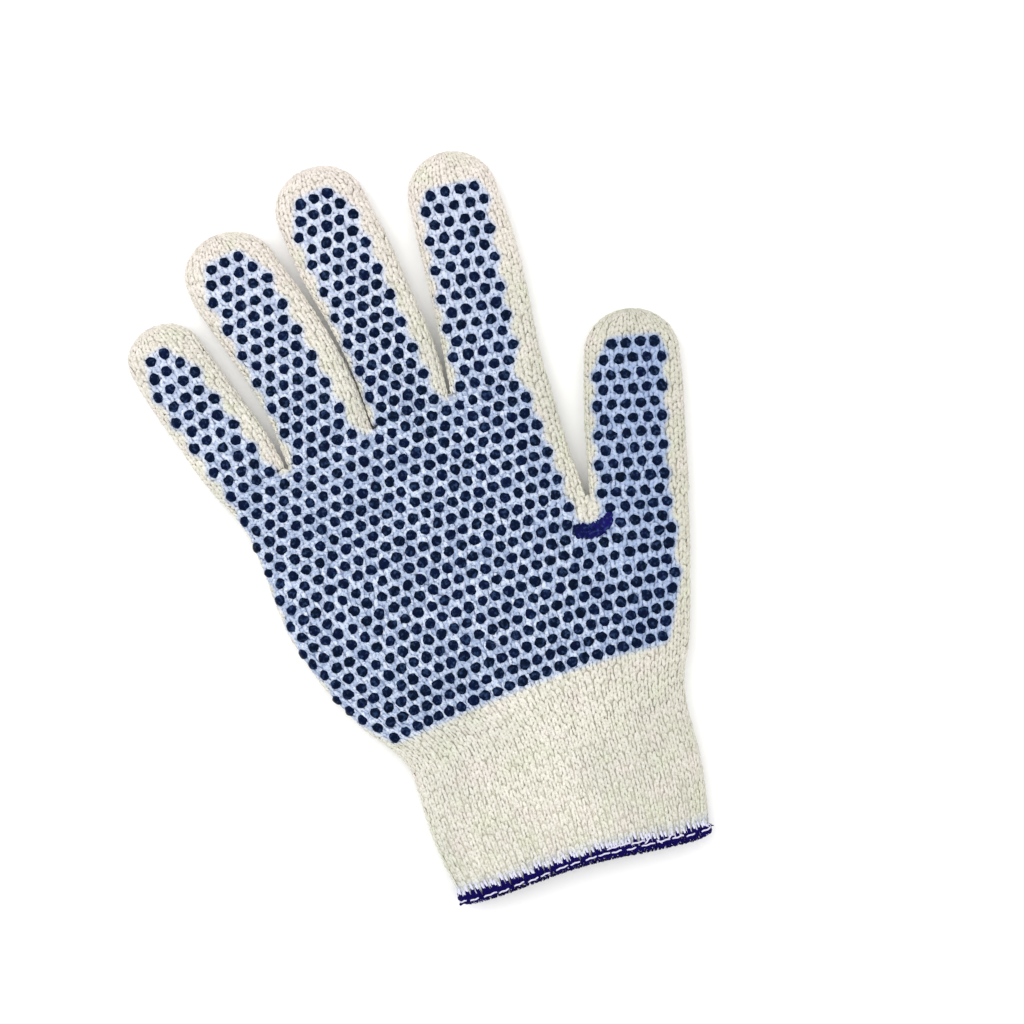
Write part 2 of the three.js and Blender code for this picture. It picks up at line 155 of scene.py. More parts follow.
def finger_front(finger, x, y):
    """Height of a finger's palm side over a place, and how far the place is past its root."""
    lean = math.radians(finger["lean"])
    dx, dy = x - finger["root"][0], y - finger["root"][1]
    along = -dx * math.sin(lean) + dy * math.cos(lean)
    middle, half, height, closing = finger_axis(finger, along)
    across = (x - middle[..., 0]) * math.cos(lean) + (y - middle[..., 1]) * math.sin(lean)
    share = np.clip(across / half, -1, 1)
    return section_height(share, half, height, closing, True), along


def palm_front(table, x, y):
    """Height of one part of the palm over a place, with the valley that each crotch draws."""
    left, right, height = (np.interp(y, table[:, 0], table[:, column]) for column in (1, 2, 3))
    half = (right - left) / 2
    share = np.clip((x - (left + right) / 2) / half, -1, 1)
    valley = np.zeros(np.shape(x))
    for crotch_x, crotch_y in CROTCHES:
        depth = np.exp(-((y - crotch_y) / 22) ** 2 - ((x - crotch_x) / 7) ** 2)
        valley = np.maximum(valley, 3.4 * depth)
    power = np.maximum(LEAST_POWER, SIDE_POWER * half / height)
    bulge = np.sqrt(np.maximum(0, 1 - np.abs(share) ** power))
    middle = MIDDLE_SHARE * height
    return middle + (height - middle - valley) * bulge


def front_height(x, y, limb="palm"):
    """Height of the palm side over a place: the palm's, passing into a finger's at its root. A
    place on a finger takes that finger's height, and one on the palm that of the finger above."""
    x, y = np.asarray(x, float), np.asarray(y, float)
    z = palm_front(LOWER_PALM, x, y)
    upper = palm_front(UPPER_PALM, x, y)
    past_root = y - np.interp(x, ROOT_LINE[:, 0], ROOT_LINE[:, 1])
    weight = ease(past_root / ROOT_BLEND)
    edges = [-1e3, *CROTCHES[:3, 0], 1e3]
    for name, low, high in zip(FINGERS, edges, edges[1:]):
        own, _ = finger_front(FINGERS[name], x, y)
        under = (x > low) & (x <= high) if limb == "palm" else name == limb
        upper = np.where(under, upper + (own - upper) * weight, upper)
    thumb, past_thumb = finger_front(FINGERS["thumb"], x, y)
    with_upper = z + (upper - z) * ease((y - THUMB_CROTCH[1]) / ROOT_BLEND)
    with_thumb = z + (thumb - z) * ease(past_thumb / ROOT_BLEND)
    on_thumb = x >= THUMB_CROTCH[0] if limb == "palm" else limb == "thumb"
    return np.where(on_thumb, with_thumb, with_upper)


# The cloth of each limb, as rows of stitches round a tube. A seamless glove has as many wales at
# the wrist as across the palm, so they crowd together in the cuff and spread over the hand.
ROW_PITCH = 2.0
HEEL_PITCH = 2.3
CUFF_ROWS = 19
PALM_WALES = 44
UPPER_WALES = 34
FINGER_WALES = {"little_finger": 10, "ring_finger": 12, "middle_finger": 11, "index_finger": 12,
                "thumb": 12}
# Where each tube starts along its finger, on the palm's root line
ROOT_STARTS = {"little_finger": 1.8, "ring_finger": 0, "middle_finger": 0, "index_finger": -0.2,
               "thumb": -1.1}
FINE = np.sin(np.linspace(-np.pi / 2, np.pi / 2, 97))


def even_shares(half, height, closing, count, front):
    """Shares of the half width at equal steps of arc, from the left side to the right one."""
    half, height, closing = half[:, None], height[:, None], closing[:, None]
    steps = np.hypot(np.diff(FINE * half, axis=1),
                     np.diff(section_height(FINE, half, height, closing, front), axis=1))
    arcs = np.concatenate([np.zeros((len(steps), 1)), np.cumsum(steps, axis=1)], axis=1)
    goals = np.linspace(0, 1, count + 1)
    return np.array([np.interp(goals * arc[-1], arc, FINE) for arc in arcs])


def tube_of(front, back):
    """One grid round a tube from its two sides: front columns left to right, then the back's."""
    return np.concatenate([front, back[:, ::-1][:, 1:-1]], axis=1)


def cloth_of(points, rows, tail):
    """A tube of cloth: its samples, and normals as the cross product of the way round and the
    way along. Tail tells whether a row of samples lies past the last line."""
    round_way = np.roll(points, -1, axis=1) - np.roll(points, 1, axis=1)
    along_way = np.gradient(points, axis=0)
    normals = np.cross(round_way, along_way)
    lengths = np.linalg.norm(normals, axis=2, keepdims=True)
    return dict(points=points, normals=normals / np.maximum(lengths, 1e-9), rows=rows, tail=tail,
                wales=points.shape[1] // 2)


def finger_cloth(name):
    """Rows an even pitch apart along a finger, a little closer where its tip narrows, and wales
    at even steps of arc round it. The last row draws together at the tip."""
    finger = FINGERS[name]
    fine = np.linspace(ROOT_STARTS[name], finger["length"], 1500)
    _, half, _, _ = finger_axis(finger, fine)
    measure = np.concatenate([[0], np.cumsum(np.hypot(np.diff(fine), 0.6 * np.diff(half)))])
    rows = int(round(measure[-1] / ROW_PITCH))
    steps = np.arange(-2, 2 * rows + 1) / (2 * rows) * measure[-1]
    along = np.interp(steps, measure, fine) + np.minimum(0, steps)
    middle, half, height, closing = finger_axis(finger, along)
    before = finger_axis(finger, along - 1.5)[0]
    after = finger_axis(finger, along + 1.5)[0]
    way = (after - before) / np.linalg.norm(after - before, axis=1, keepdims=True)
    right = np.stack([way[:, 1], -way[:, 0]], axis=1)
    sides = []
    for front in (True, False):
        shares = even_shares(half, height, closing, 2 * FINGER_WALES[name], front)
        plan = middle[:, None] + (shares * half[:, None])[..., None] * right[:, None]
        z = section_height(shares, half[:, None], height[:, None], closing[:, None], front)
        if front:
            past_root = ease((along - 2 * ROOT_BLEND) / ROOT_BLEND)[:, None]
            blended = front_height(plan[..., 0], plan[..., 1], name)
            z = blended + (z - blended) * past_root
        sides.append(np.concatenate([plan, z[..., None]], axis=2))
    cloth = cloth_of(tube_of(*sides), rows, 0)
    cloth["normals"][-1] = (*way[-1], 0)
    return cloth


def palm_cloth(table, low_line, high_line, pitch, wales, below=None):
    """Rows that pass from one line across the hand to another, between the hand's two sides.
    Its wales carry on from those of the cloth below, and spread evenly further up."""
    low, high = low_line(np.array([0.0]))[0], high_line(np.array([0.0]))[0]
    rows = int(round((high - low) / pitch))
    steps = np.arange(-2, 2 * rows + 3) / (2 * rows)
    level = low + (high - low) * steps
    left, right, height = (soft_steps(level, table[:, 0], table[:, column], 3.5)
                           for column in (1, 2, 3))
    sides = []
    for front in (True, False):
        shares = even_shares((right - left) / 2, height, np.ones(len(level)), 2 * wales, front)
        if below is not None:
            edge = below["points"][-3, :, 0]
            edge = edge if front else np.roll(edge[::-1], 1)
            own = (2 * edge[:2 * wales + 1] - left[2] - right[2]) / (right[2] - left[2])
            own = own + (1 - own[-1]) * np.linspace(0, 1, 2 * wales + 1) ** 8
            shares = shares + (own - shares) * ease(1 - steps * 4)[:, None]
        x = (left + right)[:, None] / 2 + shares * (right - left)[:, None] / 2
        for _ in range(3):
            y = low_line(x) + (high_line(x) - low_line(x)) * steps[:, None]
            row_left = soft_steps(y, table[:, 0], table[:, 1], 3.5)
            row_right = soft_steps(y, table[:, 0], table[:, 2], 3.5)
            x = (row_left + row_right) / 2 + shares * (row_right - row_left) / 2
        if front:
            z = front_height(x, y)
        else:
            z = section_height(shares, (right - left)[:, None] / 2, height[:, None], 1, False)
        sides.append(np.stack([x, y, z], axis=2))
    return cloth_of(tube_of(*sides), rows, 1)


def cuff_cloth():
    """Rows from the mouth to the wrist. The mouth is drawn in, and sways a little along Y."""
    along = np.arange(-2, 2 * CUFF_ROWS + 3) / (2 * CUFF_ROWS) * CUFF_LENGTH
    spread = np.sin(np.pi / 2 * np.clip(along / (0.7 * CUFF_LENGTH), 0, 1))
    half = (83 + (91.5 - 83) * spread) / 2
    height = np.full(len(along), 10.4)
    sides = []
    for front in (True, False):
        shares = even_shares(half, height, np.ones(len(along)), 2 * PALM_WALES, front)
        x = shares * half[:, None]
        sway = (1 - along / CUFF_LENGTH)[:, None] * np.cos(2.2 * np.pi * x / 83)
        z = section_height(shares, half[:, None], height[:, None], 1, front)
        sides.append(np.stack([x, along[:, None] + sway, z], axis=2))
    return cloth_of(tube_of(*sides), CUFF_ROWS, 1)


def joined(below, above):
    """One cloth from two with the same wales. Near the joint each place gives way to the mean of
    those up to two samples before and after it."""
    points = np.concatenate([below["points"][:-2], above["points"][3:]])
    joint = len(below["points"]) - 3
    nearness = np.exp(-((np.arange(len(points)) - joint) / 5) ** 2)[:, None, None]
    for _ in range(3):
        padded = np.concatenate([points[:1], points[:1], points, points[-1:], points[-1:]])
        mean = sum(padded[shift:shift + len(points)] for shift in range(5)) / 5
        points = points + (mean - points) * nearness
    return cloth_of(points, below["rows"] + above["rows"], 1)


def wrist_line(x):
    return np.full(np.shape(x), CUFF_LENGTH)


def thumb_line(x):
    """Level with the thumb's crotch, and square to the thumb past it."""
    past = np.maximum(0, x - THUMB_CROTCH[0])
    return THUMB_CROTCH[1] - past * math.tan(math.radians(11.5))


def crotch_line(x):
    return np.full(np.shape(x), THUMB_CROTCH[1])


def finger_line(x):
    return np.interp(x, ROOT_LINE[:, 0], ROOT_LINE[:, 1])


FINGER_CLOTHS = {name: finger_cloth(name) for name in FINGERS}
HAND_CLOTH = joined(cuff_cloth(), palm_cloth(LOWER_PALM, wrist_line, thumb_line, HEEL_PITCH,
                                             PALM_WALES))
UPPER_CLOTH = palm_cloth(UPPER_PALM, crotch_line, finger_line, ROW_PITCH, UPPER_WALES, HAND_CLOTH)


def on_cloth(cloth, row, wale, lift):
    """A place on a cloth: the four nearest samples weighted by nearness, and lifted along the
    normal. The samples start one row early, so that row 0 lies on the cloth's first line."""
    rows, columns, _ = cloth["points"].shape
    row = np.clip(row * 2 + 2, 0, rows - 1.0001)
    wale = np.mod(wale * 2, columns)
    low, first = row.astype(int), wale.astype(int)
    up, over = (row - low)[..., None], (wale - first)[..., None]
    high, second = low + 1, (first + 1) % columns
    first = first % columns

    def weighed(field):
        lower = field[low, first] * (1 - over) + field[low, second] * over
        upper = field[high, first] * (1 - over) + field[high, second] * over
        return lower * (1 - up) + upper * up

    return weighed(cloth["points"]) + weighed(cloth["normals"]) * lift[..., None]


# The printed grip: dots of PVC, about 3.3 mm across, screened onto the palm side while the glove
# lies on a flat former. They set as small uneven domes in staggered rows, which turn with each
# finger once it is off the former.
rng = np.random.default_rng(7)
# Where the rows of a limb lie. At is the dot in its middle column and row, across is the step to
# the next dot in a row, and up the step to the next row. Spread, twist and bend are what the
# steps gain from one dot to the next: along a row, from row to row, and up the limb.
DOT_STEPS = {
    "palm": dict(middle=(0, 0), at=(-19.3, 109.2), across=(4.57, 0.58), up=(-0.43, 4.70),
                 spread=(-0.005, -0.022), twist=(0.015, 0.006), bend=(-0.013, -0.004)),
    "little_finger": dict(middle=(-9.5, 15), at=(-79.1, 170.8), across=(4.71, 1.47),
                          up=(-1.75, 4.72), bend=(0, 0.034)),
    "ring_finger": dict(middle=(-4.5, 17), at=(-53.2, 184.9), across=(4.81, 0.81),
                        up=(-1.06, 4.69), bend=(-0.010, 0.012)),
    "middle_finger": dict(middle=(2, 18), at=(-19.9, 193.0), across=(4.69, 0.61),
                          up=(-0.63, 4.61), bend=(-0.007, 0.013)),
    "index_finger": dict(middle=(8, 16), at=(14.8, 187.8), across=(4.88, -0.28),
                         up=(0.38, 4.75), bend=(0.015, 0)),
    "thumb": dict(middle=(14.5, 5), at=(54.2, 134.8), across=(4.59, -0.83),
                  up=(1.19, 4.61), bend=(0.021, 0.013)),
}
# First and last row, then the first column and the number of dots of the even and the odd rows,
# how many dots the last row leaves out at either end, and how many the first row at its right
DOT_CHART = {
    "little_finger": (10, 20, (-11, 4), (-10.5, 3), (1, 1), 0),
    "ring_finger": (10, 24, (-6, 5), (-5.5, 4), (1, 1), 0),
    "middle_finger": (10, 26, (0, 5), (0.5, 4), (1, 1), 0),
    "index_finger": (10, 23, (6, 5), (6.5, 4), (0, 0), 1),
    "thumb": (1, 10, (12, 5), (12.5, 5), (1, 0), 0),
}
# Where the palm's print is pulled off its even rows: the middle column and row of the pull, its
# reach in columns and rows, and how far it draws the dots
PALM_PULLS = np.array([
    (14, -3.5, 5, 3, 1.6, -0.6), (15, -8, 4, 2.5, -0.4, -0.7), (-8, -11, 4.5, 2.5, 4.6, 1.1),
    (9, -11, 5, 2, -1.2, 0.4), (-9, -3, 3, 4, -1.0, -0.1)])
SIDE_MARGIN = 0.3


def dot_places(limb, columns, rows):
    """Places of dots: the middle dot, whole steps across and up, and what the steps gain."""
    steps = {key: np.array(value) for key, value in DOT_STEPS[limb].items()}
    u, v = columns[:, None] - steps["middle"][0], rows[:, None] - steps["middle"][1]
    places = steps["at"] + u * steps["across"] + v * steps["up"] + v * v * steps["bend"]
    return places + u * u * steps.get("spread", 0) + u * v * steps.get("twist", 0)


# The spilt paste's path from the palm to the thumb, and its half width there
SMEAR_PATH = np.array([(25.3, 105.5), (27.2, 104.7), (29.2, 103.9), (31.5, 103.3), (33.7, 103.4),
                       (35.8, 104.3), (37.5, 105.6), (38.8, 107.8)])
SMEAR_HALF = np.array([1.4, 2.5, 2.5, 2.4, 2.3, 2.3, 1.8, 0.8])


def finger_dots(limb):
    """Staggered rows: an even row has a dot more than an odd one, and starts half a step out."""
    first, last, even, odd, left_out, first_out = DOT_CHART[limb]
    columns, rows = [], []
    for row in range(first, last + 1):
        start, count = odd if row % 2 else even
        line = start + np.arange(count)
        if row == last:
            line = line[left_out[0]:count - left_out[1]]
        if row == first:
            line = line[:count - first_out]
        columns.append(line)
        rows.append(np.full(len(line), row))
    return dot_places(limb, np.concatenate(columns), np.concatenate(rows))


def palm_dots():
    """Rows over the whole palm. They pass the thumb's crotch on its left, and below it they run
    on to the thumb's side, where they draw level with the thumb's own rows. The hand's sides cut
    them off, and a bare patch lies under the crotch."""
    row, column = np.meshgrid(np.arange(-10, 10), np.arange(-11, 17))
    column = column + 0.5 * (row % 2)
    row, column = row.ravel(), column.ravel().astype(float)
    places = dot_places("palm", column, row)
    towards_thumb = np.clip((row + 5) / 5, 0, 1) * np.clip((column - 10) / 2, 0, 1)
    places += (dot_places("thumb", column, row) - places) * towards_thumb[:, None]
    for middle, middle_row, reach, row_reach, *pull in PALM_PULLS:
        nearness = np.exp(-((column - middle) / reach) ** 2 - ((row - middle_row) / row_reach) ** 2)
        places += nearness[:, None] * pull
    x, y = places.T
    left = np.where(y > THUMB_CROTCH[1], np.interp(y, *UPPER_PALM[:, :2].T),
                    np.interp(y, *LOWER_PALM[:, :2].T))
    kept = (column >= np.maximum(-11, -13 - row / 2)) & (x > left + SIDE_MARGIN)
    kept &= column <= np.where(row > 0, 10, np.minimum(16.5, 19 + row / 2))
    kept &= (row != -5) | (column < 16)
    kept &= np.hypot((x - 32.0) / 6.4, (y - 107.6) / 6.6) > 1
    kept &= np.hypot(x - 27.1, y - 102.8) > 1.6
    return places[kept]


DOTS = {limb: finger_dots(limb) for limb in DOT_CHART}
DOTS["palm"] = palm_dots()


def new_piece(name, points, quads, triangles, material):
    """A mesh object at the origin from whole arrays of corners, with smooth faces."""
    mesh = bpy.data.meshes.new(name)
    mesh.vertices.add(len(points))
    mesh.vertices.foreach_set("co", to_scene(points).ravel())
    corners = np.concatenate([quads.ravel(), triangles.ravel()]).astype(np.int32)
    starts = np.concatenate([np.arange(len(quads)) * 4,
                             quads.size + np.arange(len(triangles)) * 3]).astype(np.int32)
    mesh.loops.add(len(corners))
    mesh.loops.foreach_set("vertex_index", corners)
    mesh.polygons.add(len(starts))
    mesh.polygons.foreach_set("loop_start", starts)
    mesh.polygons.foreach_set("use_smooth", np.ones(len(starts), bool))
    mesh.update(calc_edges=True)
    mesh.materials.append(material)
    piece = bpy.data.objects.new(name, mesh)
    bpy.context.collection.objects.link(piece)
    return piece


def keep_values(piece, name, values):
    """Stores a number, or three numbers, at each point of a piece for its material to read."""
    kind = "FLOAT" if values.ndim == 1 else "FLOAT_VECTOR"
    field = piece.data.attributes.new(name, kind, "POINT")
    key = "value" if values.ndim == 1 else "vector"
    field.data.foreach_set(key, values.astype(np.float32).ravel())


def ring_faces(rings, sides):
    """Faces of a body of rings between two end points: point 0, the rings in order, the last
    point. Each ring runs the left-hand way round as seen from further along."""
    side = np.arange(sides)
    after = (side + 1) % sides
    ring = np.arange(rings - 1)[:, None] * sides + 1
    quads = np.stack([ring + side, ring + after, ring + sides + after, ring + sides + side],
                     axis=2).reshape(-1, 4)
    last = rings * sides + 1
    first_cap = np.stack([np.zeros(sides, int), 1 + after, 1 + side], axis=1)
    last_cap = np.stack([np.full(sides, last), last - sides + side, last - sides + after], axis=1)
    return quads, np.concatenate([first_cap, last_cap]), last + 1


def repeated(faces, copies, points_each):
    """The same faces for every copy of a body."""
    return (faces[None] + np.arange(copies)[:, None, None] * points_each).reshape(
        -1, faces.shape[1])


# The knit itself: cream cotton yarn, about 1 mm thick and softly twisted, in plain stitches
# whose two legs make a V that points to the fingertips, where the knitting began. The wall
# behind them is the same yarn seen from its wrong side.
LEG_ALONG = np.array([0.82, 0.55, 0.0, -0.55, -0.86])
LEG_ASIDE = np.array([0.08, 0.14, 0.25, 0.33, 0.37])
LEG_LIFT = np.array([-0.75, -0.30, -0.30, -0.62, -1.0])
LEG_HALF = np.array([0, 0.215, 0.30, 0.235, 0])
LEG_THICK = np.array([0, 0.28, 0.33, 0.27, 0])
LEG_LENGTH = 3.4

all_dots = np.concatenate([*DOTS.values(), SMEAR_PATH[::2]])
CAST_REACH, CAST_EDGE, CAST_FADE = 3.1, 0.64, 0.30


def group(name, inputs, outputs):
    """An empty shader group with named inputs and outputs."""
    tree = bpy.data.node_groups.new(name, "ShaderNodeTree")
    for kind, title, value in inputs:
        socket = tree.interface.new_socket(title, in_out="INPUT", socket_type=kind)
        socket.default_value = value
    for kind, title in outputs:
        tree.interface.new_socket(title, in_out="OUTPUT", socket_type=kind)
    return tree, tree.nodes.new("NodeGroupInput"), tree.nodes.new("NodeGroupOutput")


def node(tree, kind, links=(), **settings):
    """A node with its settings, and links to its inputs by name or number."""
    made = tree.nodes.new(kind)
    for key, value in settings.items():
        setattr(made, key, value)
    for socket, source in links:
        if hasattr(source, "is_output") or hasattr(source, "links"):
            tree.links.new(source, made.inputs[socket])
        else:
            made.inputs[socket].default_value = source
    return made


def linear(red, green, blue):
    """A colour as a screen shows it, 0 to 255, as the renderer's light values."""
    shown = np.array([red, green, blue]) / 255
    values = np.where(shown <= 0.04045, shown / 12.92, ((shown + 0.055) / 1.055) ** 2.4)
    return (*values, 1.0)


def mixed(tree, share, first, second, blend="MIX"):
    """One colour passing into another by a share."""
    made = tree.nodes.new("ShaderNodeMix")
    made.data_type, made.blend_type = "RGBA", blend
    for socket, source in ((0, share), (6, first), (7, second)):
        if hasattr(source, "links"):
            tree.links.new(source, made.inputs[socket])
        else:
            made.inputs[socket].default_value = source
    return made.outputs[2]


def ramped(tree, value, low, high, to_low=0.0, to_high=1.0):
    """A value carried from one range to another, and held at its ends."""
    made = node(tree, "ShaderNodeMapRange", ((0, value), (1, low), (2, high), (3, to_low),
                                             (4, to_high)))
    return made.outputs[0]


def fibre_group():
    """Fine fibres that wind along a twisted yarn, as a height and a mask. It reads the yarn's own
    way: along it, across it, and a number that differs from one length of yarn to the next."""
    tree, inputs, outputs = group(
        "yarn_fibres",
        (("NodeSocketVector", "Yarn", (0, 0, 0)), ("NodeSocketFloat", "Twist", 0.9),
         ("NodeSocketFloat", "Fineness", 1.0)),
        (("NodeSocketFloat", "Height"), ("NodeSocketFloat", "Mask")))
    parts = node(tree, "ShaderNodeSeparateXYZ", ((0, inputs.outputs["Yarn"]),))
    leaning = node(tree, "ShaderNodeMath", ((0, parts.outputs[1]), (1, inputs.outputs["Twist"])),
                   operation="MULTIPLY")
    wound = node(tree, "ShaderNodeMath", ((0, parts.outputs[0]), (1, leaning.outputs[0])),
                 operation="ADD")
    place = node(tree, "ShaderNodeCombineXYZ", ((0, wound.outputs[0]), (1, parts.outputs[1]),
                                                (2, parts.outputs[2])))
    squeezed = node(tree, "ShaderNodeMapping", (("Vector", place.outputs[0]),
                                                ("Scale", (1.6, 5.5, 9.0))))
    fibres = node(tree, "ShaderNodeTexNoise", (("Vector", squeezed.outputs[0]),
                                               ("Scale", inputs.outputs["Fineness"]),
                                               ("Detail", 3.0), ("Roughness", 0.6)))
    plies = node(tree, "ShaderNodeMath", ((0, wound.outputs[0]), (1, 5.2)), operation="MULTIPLY")
    wave = node(tree, "ShaderNodeMath", ((0, plies.outputs[0]),), operation="SINE")
    soft_wave = node(tree, "ShaderNodeMath", ((0, wave.outputs[0]), (1, 0.22)),
                     operation="MULTIPLY")
    total = node(tree, "ShaderNodeMath", ((0, fibres.outputs[0]), (1, soft_wave.outputs[0])),
                 operation="ADD")
    tree.links.new(total.outputs[0], outputs.inputs["Height"])
    tree.links.new(ramped(tree, fibres.outputs[0], 0.35, 0.65), outputs.inputs["Mask"])
    return tree


FIBRES = fibre_group()


def cream_group():
    """Undyed cotton: two creams in broad clouds, partly its own tone and partly a painted shade of
    soft folds; a painted shade that greys it toward the thumb, and a painted light that makes it
    paler and a little rosier at the fingertips; faint rosy and greenish patches a few stitches
    wide; dark flecks and specks of painted shade for the holes between stitches; a painted shade
    in the low grooves of the fibres; the grip's blue cast by its mask, under the same painted
    shade and light; and a painted shade where the yarn dives under."""
    tree, inputs, outputs = group(
        "cream_cotton",
        (("NodeSocketFloat", "Print", 0.0), ("NodeSocketFloat", "Depth", 0.0),
         ("NodeSocketFloat", "Stitch", 0.5), ("NodeSocketFloat", "Fibres", 0.5)),
        (("NodeSocketColor", "Color"),))
    place = node(tree, "ShaderNodeTexCoord")
    clouds, patches, flecks, specks = (
        node(tree, "ShaderNodeTexNoise", (("Vector", place.outputs["Object"]), ("Scale", scale),
                                          ("Detail", 2.0))).outputs[0]
        for scale in (38.0, 105.0, 520.0, 1350.0))
    # Broad clouds: partly the cotton's own tone, partly a painted shade of soft folds.
    cream = mixed(tree, ramped(tree, clouds, 0.36, 0.64),
                  linear(221, 221, 210), linear(238, 235, 224))
    where = node(tree, "ShaderNodeSeparateXYZ", ((0, place.outputs["Object"]),))
    near_thumb, far_thumb = to_scene((66, 0, 0))[0], to_scene((5, 0, 0))[0]
    # Painted shade: the cream greys toward the thumb's side, where less light falls.
    thumb_side_shade = mixed(tree, ramped(tree, where.outputs[0], far_thumb, near_thumb, 0.0, 0.8), cream,
                    linear(205, 204, 190))
    tips_start, tips_end = to_scene((0, 175, 0))[1], to_scene((0, 222, 0))[1]
    # Painted light: the cream grows paler, and a little rosier, toward the fingertips, where more
    # light falls.
    lit_tips = mixed(tree, ramped(tree, where.outputs[1], tips_start, tips_end, 0.0, 0.8), thumb_side_shade,
                  linear(241, 231, 225))
    rosy = mixed(tree, ramped(tree, patches, 0.53, 0.68, 0.0, 0.5), lit_tips,
                 linear(233, 222, 219))
    green = mixed(tree, ramped(tree, patches, 0.47, 0.32, 0.0, 0.5), rosy,
                  linear(222, 226, 204))
    # Painted shade: dark flecks and specks of noise stand in for the shadowed holes between
    # stitches.
    shade_flecked = mixed(tree, ramped(tree, flecks, 0.58, 0.75, 0.0, 0.6), green,
                    linear(184, 179, 160))
    shade_speckled = mixed(tree, ramped(tree, specks, 0.50, 0.64, 0.0, 0.5), shade_flecked,
                     linear(172, 167, 148))
    each = mixed(tree, ramped(tree, inputs.outputs["Stitch"], 0.0, 1.0, 0.0, 0.26), shade_speckled,
                 linear(196, 191, 176))
    tinted = mixed(tree, inputs.outputs["Stitch"], linear(220, 230, 248), linear(170, 187, 216))
    # The grip's blue cast, with darker blue specks of painted shade for the holes between stitches.
    print_with_shade_specks = mixed(tree, ramped(tree, specks, 0.48, 0.64, 0.0, 0.6), tinted, linear(106, 128, 174))
    # Painted shade: the grip's blue cast darkens toward the thumb's side as well.
    print_thumb_side_shade = mixed(tree, ramped(tree, where.outputs[0], far_thumb, near_thumb, 0.0, 0.7), print_with_shade_specks,
                   linear(146, 168, 208))
    # Painted light: the grip's blue cast grows paler toward the fingertips.
    paler = mixed(tree, ramped(tree, where.outputs[1], to_scene((0, 150, 0))[1], tips_end,
                               0.0, 0.4), print_thumb_side_shade, linear(228, 232, 246))
    printed = mixed(tree, inputs.outputs["Print"], each, paler)
    # Painted shade: a little darker where the fibres' bump is low, in its grooves.
    fibre_groove_shade = mixed(tree, ramped(tree, inputs.outputs["Fibres"], 0.0, 1.0, 0.10, 0.0), printed,
                 linear(160, 155, 138))
    shade = mixed(tree, inputs.outputs["Print"], linear(172, 167, 146), linear(70, 96, 158))
    deep = mixed(tree, inputs.outputs["Depth"], fibre_groove_shade, shade, "MULTIPLY")
    tree.links.new(deep, outputs.inputs["Color"])
    return tree


CREAM = cream_group()


def attribute(tree, name, output="Fac"):
    return node(tree, "ShaderNodeAttribute", attribute_name=name).outputs[output]


def new_material(name):
    """A material with a Principled shader, and the two of them."""
    material = bpy.data.materials.new(name)
    material.use_nodes = True
    return material, material.node_tree, material.node_tree.nodes["Principled BSDF"]


def yarn_material():
    """Soft matt cotton yarn, with its fibres as bump and a faint sheen of loose ends."""
    material, tree, shader = new_material("cream_yarn")
    fibres = node(tree, "ShaderNodeGroup", node_tree=FIBRES)
    tree.links.new(attribute(tree, "yarn", "Vector"), fibres.inputs["Yarn"])
    cream = node(tree, "ShaderNodeGroup", node_tree=CREAM)
    for title in ("Print", "Depth", "Stitch"):
        tree.links.new(attribute(tree, title.lower()), cream.inputs[title])
    tree.links.new(fibres.outputs["Mask"], cream.inputs["Fibres"])
    tree.links.new(cream.outputs[0], shader.inputs["Base Color"])
    bump = node(tree, "ShaderNodeBump", (("Height", fibres.outputs["Height"]),
                                         ("Strength", 0.55), ("Distance", 0.00025)))
    tree.links.new(bump.outputs[0], shader.inputs["Normal"])
    tree.links.new(ramped(tree, fibres.outputs["Mask"], 0, 1, 0.95, 0.82),
                   shader.inputs["Roughness"])
    shader.inputs["Sheen Weight"].default_value = 0.12
    shader.inputs["Sheen Roughness"].default_value = 0.5
    shader.inputs["Specular IOR Level"].default_value = 0.2
    return material


def lining_material():
    """The wrong side of the knit: purl bumps in rows, painted darker as shade because it lies in
    the gaps.
    """
    material, tree, shader = new_material("cream_lining")
    # Painted shade: a fixed depth share and a darker stitch tone, for the wall deep in the gaps.
    cream = node(tree, "ShaderNodeGroup", (("Stitch", 0.7), ("Depth", 0.35)), node_tree=CREAM)
    tree.links.new(attribute(tree, "print"), cream.inputs["Print"])
    rows = attribute(tree, "yarn", "Vector")
    waves = node(tree, "ShaderNodeTexWave", (("Vector", rows), ("Scale", 0.314),
                                             ("Distortion", 1.2), ("Detail", 2.0)),
                 bands_direction="Y")
    tree.links.new(ramped(tree, waves.outputs["Fac"], 0, 1), cream.inputs["Fibres"])
    tree.links.new(cream.outputs[0], shader.inputs["Base Color"])
    bump = node(tree, "ShaderNodeBump", (("Height", waves.outputs["Fac"]), ("Strength", 0.6),
                                         ("Distance", 0.0004)))
    tree.links.new(bump.outputs[0], shader.inputs["Normal"])
    shader.inputs["Roughness"].default_value = 0.95
    return material


cream_yarn = yarn_material()
cream_lining = lining_material()


def print_cast(points, on_front):
    """How far the grip has tinted the knit: the dots' density about a place, as a sum of bells of
    exp(-distance^2), is carried to 0 a little past the outer dots, and to 1 between them."""
    density = np.zeros(len(points))
    front = np.flatnonzero(on_front)
    for start in range(0, len(front), 4000):
        part = points[front[start:start + 4000]]
        gap = ((part[:, None, :2] - all_dots) ** 2).sum(axis=2)
        density[front[start:start + 4000]] = np.exp(-gap / CAST_REACH ** 2).sum(axis=1)
    return ease((density - CAST_EDGE) / CAST_FADE)


